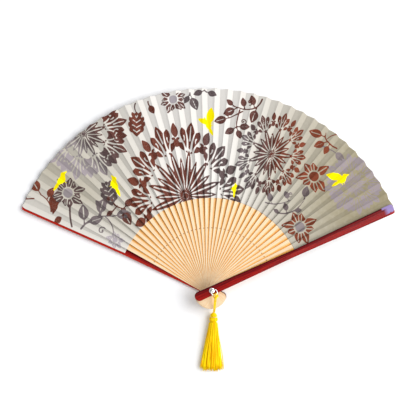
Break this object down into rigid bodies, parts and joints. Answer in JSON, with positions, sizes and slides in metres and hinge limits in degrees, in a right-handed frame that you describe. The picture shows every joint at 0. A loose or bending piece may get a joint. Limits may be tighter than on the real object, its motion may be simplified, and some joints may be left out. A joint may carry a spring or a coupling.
{
  "type": "folding hand fan",
  "caption": "Folding hand fan, open, with lacquered guards, bamboo ribs on a pinned pivot, a pleated printed cloth leaf and a silk tassel on a jump ring.",
  "frame": {"origin": "on the pivot axis, in the plane that the closed back of the fan lies on", "axes": "+Z along the pivot axis to the front of the fan, +Y from the pivot through the leaf, +X to the right as seen from the front"},
  "size_m": [0.3545, 0.2704, 0.0226],
  "materials": {
    "lacquer": "glossy dark red lacquer",
    "bamboo": "smooth pale split bamboo",
    "printed_cloth": "matt stiffened cotton, printed with flowers and small birds",
    "silver": "bright plated wire and sheet",
    "silk": "glossy yellow thread"
  },
  "bodies": {
    "back_guard": {"back_guard": "lacquer", "pivot_pin": "silver", "back_washer": "silver", "front_washer": "silver", "leaf": "printed_cloth"},
    "front_guard": {"front_guard": "lacquer"},
    "rib_01": {"rib_01": "bamboo"},
    "rib_02": {"rib_02": "bamboo"},
    "rib_03": {"rib_03": "bamboo"},
    "rib_04": {"rib_04": "bamboo"},
    "rib_05": {"rib_05": "bamboo"},
    "rib_06": {"rib_06": "bamboo"},
    "rib_07": {"rib_07": "bamboo"},
    "rib_08": {"rib_08": "bamboo"},
    "rib_09": {"rib_09": "bamboo"},
    "rib_10": {"rib_10": "bamboo"},
    "rib_11": {"rib_11": "bamboo"},
    "rib_12": {"rib_12": "bamboo"},
    "rib_13": {"rib_13": "bamboo"},
    "rib_14": {"rib_14": "bamboo"},
    "rib_15": {"rib_15": "bamboo"},
    "rib_16": {"rib_16": "bamboo"},
    "rib_17": {"rib_17": "bamboo"},
    "rib_18": {"rib_18": "bamboo"},
    "rib_19": {"rib_19": "bamboo"},
    "rib_20": {"rib_20": "bamboo"},
    "rib_21": {"rib_21": "bamboo"},
    "rib_22": {"rib_22": "bamboo"},
    "rib_23": {"rib_23": "bamboo"},
    "rib_24": {"rib_24": "bamboo"},
    "rib_25": {"rib_25": "bamboo"},
    "rib_26": {"rib_26": "bamboo"},
    "rib_27": {"rib_27": "bamboo"},
    "rib_28": {"rib_28": "bamboo"},
    "rib_29": {"rib_29": "bamboo"},
    "rib_30": {"rib_30": "bamboo"},
    "rib_31": {"rib_31": "bamboo"},
    "rib_32": {"rib_32": "bamboo"},
    "rib_33": {"rib_33": "bamboo"},
    "rib_34": {"rib_34": "bamboo"},
    "jump_ring": {"jump_ring": "silver"},
    "tassel": {"tassel_cord": "silk", "tassel_knob": "silk", "tassel_band": "silk", "tassel_skirt": "silk"}
  },
  "joints": [
    {"name": "fold", "type": "hinge", "parent": "back_guard", "child": "front_guard", "pos_m": [0, 0, 0], "axis": [0, 0, 1], "range_deg": [0, 131.3], "deforming": ["leaf"]},
    {"name": "rib_01_fold", "type": "hinge", "parent": "back_guard", "child": "rib_01", "pos_m": [0, 0, 0], "axis": [0, 0, 1], "range_deg": [0, 3.85]},
    {"name": "rib_02_fold", "type": "hinge", "parent": "back_guard", "child": "rib_02", "pos_m": [0, 0, 0], "axis": [0, 0, 1], "range_deg": [0, 7.6]},
    {"name": "rib_03_fold", "type": "hinge", "parent": "back_guard", "child": "rib_03", "pos_m": [0, 0, 0], "axis": [0, 0, 1], "range_deg": [0, 11.35]},
    {"name": "rib_04_fold", "type": "hinge", "parent": "back_guard", "child": "rib_04", "pos_m": [0, 0, 0], "axis": [0, 0, 1], "range_deg": [0, 15.11]},
    {"name": "rib_05_fold", "type": "hinge", "parent": "back_guard", "child": "rib_05", "pos_m": [0, 0, 0], "axis": [0, 0, 1], "range_deg": [0, 18.86]},
    {"name": "rib_06_fold", "type": "hinge", "parent": "back_guard", "child": "rib_06", "pos_m": [0, 0, 0], "axis": [0, 0, 1], "range_deg": [0, 22.61]},
    {"name": "rib_07_fold", "type": "hinge", "parent": "back_guard", "child": "rib_07", "pos_m": [0, 0, 0], "axis": [0, 0, 1], "range_deg": [0, 26.36]},
    {"name": "rib_08_fold", "type": "hinge", "parent": "back_guard", "child": "rib_08", "pos_m": [0, 0, 0], "axis": [0, 0, 1], "range_deg": [0, 30.11]},
    {"name": "rib_09_fold", "type": "hinge", "parent": "back_guard", "child": "rib_09", "pos_m": [0, 0, 0], "axis": [0, 0, 1], "range_deg": [0, 33.86]},
    {"name": "rib_10_fold", "type": "hinge", "parent": "back_guard", "child": "rib_10", "pos_m": [0, 0, 0], "axis": [0, 0, 1], "range_deg": [0, 37.61]},
    {"name": "rib_11_fold", "type": "hinge", "parent": "back_guard", "child": "rib_11", "pos_m": [0, 0, 0], "axis": [0, 0, 1], "range_deg": [0, 41.37]},
    {"name": "rib_12_fold", "type": "hinge", "parent": "back_guard", "child": "rib_12", "pos_m": [0, 0, 0], "axis": [0, 0, 1], "range_deg": [0, 45.12]},
    {"name": "rib_13_fold", "type": "hinge", "parent": "back_guard", "child": "rib_13", "pos_m": [0, 0, 0], "axis": [0, 0, 1], "range_deg": [0, 48.87]},
    {"name": "rib_14_fold", "type": "hinge", "parent": "back_guard", "child": "rib_14", "pos_m": [0, 0, 0], "axis": [0, 0, 1], "range_deg": [0, 52.62]},
    {"name": "rib_15_fold", "type": "hinge", "parent": "back_guard", "child": "rib_15", "pos_m": [0, 0, 0], "axis": [0, 0, 1], "range_deg": [0, 56.37]},
    {"name": "rib_16_fold", "type": "hinge", "parent": "back_guard", "child": "rib_16", "pos_m": [0, 0, 0], "axis": [0, 0, 1], "range_deg": [0, 60.12]},
    {"name": "rib_17_fold", "type": "hinge", "parent": "back_guard", "child": "rib_17", "pos_m": [0, 0, 0], "axis": [0, 0, 1], "range_deg": [0, 63.87]},
    {"name": "rib_18_fold", "type": "hinge", "parent": "back_guard", "child": "rib_18", "pos_m": [0, 0, 0], "axis": [0, 0, 1], "range_deg": [0, 67.63]},
    {"name": "rib_19_fold", "type": "hinge", "parent": "back_guard", "child": "rib_19", "pos_m": [0, 0, 0], "axis": [0, 0, 1], "range_deg": [0, 71.38]},
    {"name": "rib_20_fold", "type": "hinge", "parent": "back_guard", "child": "rib_20", "pos_m": [0, 0, 0], "axis": [0, 0, 1], "range_deg": [0, 75.13]},
    {"name": "rib_21_fold", "type": "hinge", "parent": "back_guard", "child": "rib_21", "pos_m": [0, 0, 0], "axis": [0, 0, 1], "range_deg": [0, 78.88]},
    {"name": "rib_22_fold", "type": "hinge", "parent": "back_guard", "child": "rib_22", "pos_m": [0, 0, 0], "axis": [0, 0, 1], "range_deg": [0, 82.63]},
    {"name": "rib_23_fold", "type": "hinge", "parent": "back_guard", "child": "rib_23", "pos_m": [0, 0, 0], "axis": [0, 0, 1], "range_deg": [0, 86.38]},
    {"name": "rib_24_fold", "type": "hinge", "parent": "back_guard", "child": "rib_24", "pos_m": [0, 0, 0], "axis": [0, 0, 1], "range_deg": [0, 90.13]},
    {"name": "rib_25_fold", "type": "hinge", "parent": "back_guard", "child": "rib_25", "pos_m": [0, 0, 0], "axis": [0, 0, 1], "range_deg": [0, 93.89]},
    {"name": "rib_26_fold", "type": "hinge", "parent": "back_guard", "child": "rib_26", "pos_m": [0, 0, 0], "axis": [0, 0, 1], "range_deg": [0, 97.64]},
    {"name": "rib_27_fold", "type": "hinge", "parent": "back_guard", "child": "rib_27", "pos_m": [0, 0, 0], "axis": [0, 0, 1], "range_deg": [0, 101.39]},
    {"name": "rib_28_fold", "type": "hinge", "parent": "back_guard", "child": "rib_28", "pos_m": [0, 0, 0], "axis": [0, 0, 1], "range_deg": [0, 105.14]},
    {"name": "rib_29_fold", "type": "hinge", "parent": "back_guard", "child": "rib_29", "pos_m": [0, 0, 0], "axis": [0, 0, 1], "range_deg": [0, 108.89]},
    {"name": "rib_30_fold", "type": "hinge", "parent": "back_guard", "child": "rib_30", "pos_m": [0, 0, 0], "axis": [0, 0, 1], "range_deg": [0, 112.64]},
    {"name": "rib_31_fold", "type": "hinge", "parent": "back_guard", "child": "rib_31", "pos_m": [0, 0, 0], "axis": [0, 0, 1], "range_deg": [0, 116.39]},
    {"name": "rib_32_fold", "type": "hinge", "parent": "back_guard", "child": "rib_32", "pos_m": [0, 0, 0], "axis": [0, 0, 1], "range_deg": [0, 120.15]},
    {"name": "rib_33_fold", "type": "hinge", "parent": "back_guard", "child": "rib_33", "pos_m": [0, 0, 0], "axis": [0, 0, 1], "range_deg": [0, 123.9]},
    {"name": "rib_34_fold", "type": "hinge", "parent": "back_guard", "child": "rib_34", "pos_m": [0, 0, 0], "axis": [0, 0, 1], "range_deg": [0, 127.65]},
    {"name": "ring_swing", "type": "hinge", "parent": "back_guard", "child": "jump_ring", "pos_m": [0, 0, 0.02087], "axis": [-0.6157, -0.788, 0], "range_deg": [0, 60]},
    {"name": "tassel_swing", "type": "hinge", "parent": "jump_ring", "child": "tassel", "pos_m": [0.00318, -0.00423, 0.02042], "axis": [-0.9272, -0.3746, 0], "range_deg": [0, 100], "deforming": ["tassel_cord"]}
  ],
  "couplings": [
    {"joint": "rib_01_fold", "follows": "fold", "ratio": 0.028571},
    {"joint": "rib_02_fold", "follows": "fold", "ratio": 0.057143},
    {"joint": "rib_03_fold", "follows": "fold", "ratio": 0.085714},
    {"joint": "rib_04_fold", "follows": "fold", "ratio": 0.11429},
    {"joint": "rib_05_fold", "follows": "fold", "ratio": 0.14286},
    {"joint": "rib_06_fold", "follows": "fold", "ratio": 0.17143},
    {"joint": "rib_07_fold", "follows": "fold", "ratio": 0.2},
    {"joint": "rib_08_fold", "follows": "fold", "ratio": 0.22857},
    {"joint": "rib_09_fold", "follows": "fold", "ratio": 0.25714},
    {"joint": "rib_10_fold", "follows": "fold", "ratio": 0.28571},
    {"joint": "rib_11_fold", "follows": "fold", "ratio": 0.31429},
    {"joint": "rib_12_fold", "follows": "fold", "ratio": 0.34286},
    {"joint": "rib_13_fold", "follows": "fold", "ratio": 0.37143},
    {"joint": "rib_14_fold", "follows": "fold", "ratio": 0.4},
    {"joint": "rib_15_fold", "follows": "fold", "ratio": 0.42857},
    {"joint": "rib_16_fold", "follows": "fold", "ratio": 0.45714},
    {"joint": "rib_17_fold", "follows": "fold", "ratio": 0.48571},
    {"joint": "rib_18_fold", "follows": "fold", "ratio": 0.51429},
    {"joint": "rib_19_fold", "follows": "fold", "ratio": 0.54286},
    {"joint": "rib_20_fold", "follows": "fold", "ratio": 0.57143},
    {"joint": "rib_21_fold", "follows": "fold", "ratio": 0.6},
    {"joint": "rib_22_fold", "follows": "fold", "ratio": 0.62857},
    {"joint": "rib_23_fold", "follows": "fold", "ratio": 0.65714},
    {"joint": "rib_24_fold", "follows": "fold", "ratio": 0.68571},
    {"joint": "rib_25_fold", "follows": "fold", "ratio": 0.71429},
    {"joint": "rib_26_fold", "follows": "fold", "ratio": 0.74286},
    {"joint": "rib_27_fold", "follows": "fold", "ratio": 0.77143},
    {"joint": "rib_28_fold", "follows": "fold", "ratio": 0.8},
    {"joint": "rib_29_fold", "follows": "fold", "ratio": 0.82857},
    {"joint": "rib_30_fold", "follows": "fold", "ratio": 0.85714},
    {"joint": "rib_31_fold", "follows": "fold", "ratio": 0.88571},
    {"joint": "rib_32_fold", "follows": "fold", "ratio": 0.91429},
    {"joint": "rib_33_fold", "follows": "fold", "ratio": 0.94286},
    {"joint": "rib_34_fold", "follows": "fold", "ratio": 0.97143}
  ]
}
